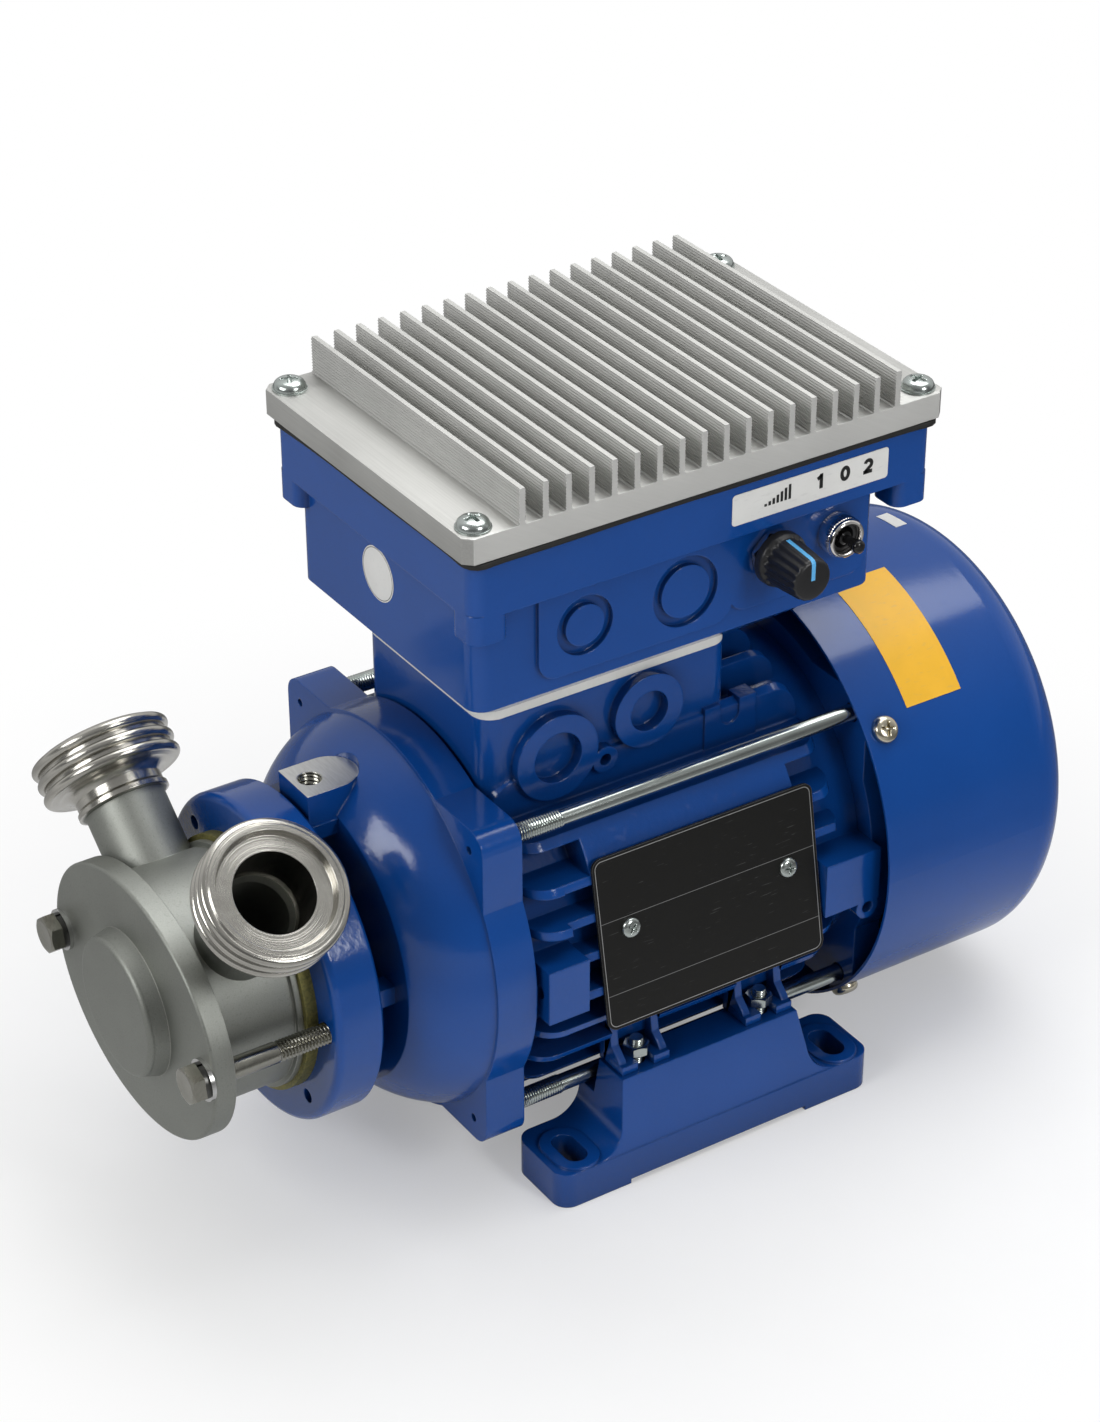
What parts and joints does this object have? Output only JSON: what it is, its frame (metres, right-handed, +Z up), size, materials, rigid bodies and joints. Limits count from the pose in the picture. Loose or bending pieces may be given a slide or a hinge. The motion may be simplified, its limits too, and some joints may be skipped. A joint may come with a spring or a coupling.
{
  "type": "flexible impeller pump with motor and speed controller",
  "caption": "Close-coupled flexible impeller pump: steel pump head with two threaded ports in a V, finned foot-mounted motor, fan cowl and a speed controller box with heat sink on top.",
  "frame": {"origin": "centre of the four foot slots, on the floor plane under the feet", "axes": "+Z up; +Y along the shaft from the pump head to the fan; +X towards the side with the speed knob and nameplate"},
  "size_m": [0.1356, 0.2858, 0.2223],
  "materials": {
    "blue_paint": "gloss",
    "cast_steel": "satin",
    "zinc_steel": "semi-gloss",
    "olive_plate": "satin",
    "bare_aluminium": "satin",
    "cast_grey": "matt",
    "black_rubber": "matt",
    "shaft_steel": "satin",
    "bearing_steel": "polished",
    "lamination": "matt",
    "copper_winding": "satin",
    "brass": "satin",
    "carbon": "satin",
    "ceramic": "satin",
    "black_plastic": "matt",
    "gloss_black": "gloss",
    "white_plastic": "satin",
    "board": "satin",
    "module": "matt"
  },
  "bodies": {
    "frame": {"pump_cover": "cast_steel", "cover_bolts": "zinc_steel", "cover_flat_washers": "zinc_steel", "cover_spring_washers": "zinc_steel", "cover_seal": "black_rubber", "pump_body": "cast_steel", "spacer_ring": "olive_plate", "cam_plate": "cast_steel", "seal_seat": "ceramic", "lantern": "blue_paint", "bearing_outer_rings": "bearing_steel", "preload_spring": "shaft_steel", "tie_rods": "zinc_steel", "motor_housing": "blue_paint", "stator_core": "lamination", "stator_windings": "copper_winding", "rear_shield": "cast_grey", "fan_cowl": "blue_paint", "cowl_screws": "zinc_steel", "foot_right": "blue_paint", "foot_left": "blue_paint", "foot_studs": "zinc_steel", "foot_nuts": "zinc_steel", "nameplate": "gloss_black", "nameplate_screws": "zinc_steel", "adapter_plate": "white_plastic", "inverter_case": "blue_paint", "case_screws": "zinc_steel", "lid_gasket": "black_rubber", "heat_sink_lid": "bare_aluminium", "lid_screws": "zinc_steel", "inverter_board": "board", "board_spacers": "brass", "power_module": "module", "capacitors": "module", "terminal_block": "module", "potentiometer": "shaft_steel", "potentiometer_nut": "bearing_steel", "switch_body": "shaft_steel", "switch_nut": "bearing_steel"},
    "rotor": {"shaft": "shaft_steel", "rotor_core": "lamination", "rotor_end_rings": "bare_aluminium", "fan": "black_plastic", "fan_clip": "shaft_steel", "impeller": "black_rubber", "impeller_insert": "brass", "impeller_key": "shaft_steel", "seal_face": "carbon", "seal_cup": "black_rubber", "seal_spring": "shaft_steel", "slinger": "black_rubber", "bearing_inner_rings": "bearing_steel"},
    "ball_sets": {"bearing_balls": "bearing_steel", "bearing_cages": "brass"},
    "knob": {"speed_knob": "black_plastic", "potentiometer_spindle": "shaft_steel"},
    "switch": {"switch_lever": "black_plastic"}
  },
  "joints": [
    {"name": "shaft_spin", "type": "hinge", "parent": "frame", "child": "rotor", "pos_m": [0, 0, 0.071], "axis": [0, 1, 0], "continuous": true, "deforming": ["impeller"]},
    {"name": "cage_spin", "type": "hinge", "parent": "frame", "child": "ball_sets", "pos_m": [0, 0, 0.071], "axis": [0, 1, 0], "continuous": true},
    {"name": "speed_knob_turn", "type": "hinge", "parent": "frame", "child": "knob", "pos_m": [0.053, 0.026, 0.1768], "axis": [1, 0, 0], "range_deg": [-150, 150]},
    {"name": "switch_throw", "type": "hinge", "parent": "frame", "child": "switch", "pos_m": [0.0454, 0.0474, 0.1766], "axis": [0, 0, 1], "range_deg": [-13, 13]}
  ],
  "couplings": [
    {"joint": "cage_spin", "follows": "shaft_spin", "ratio": 0.381}
  ]
}
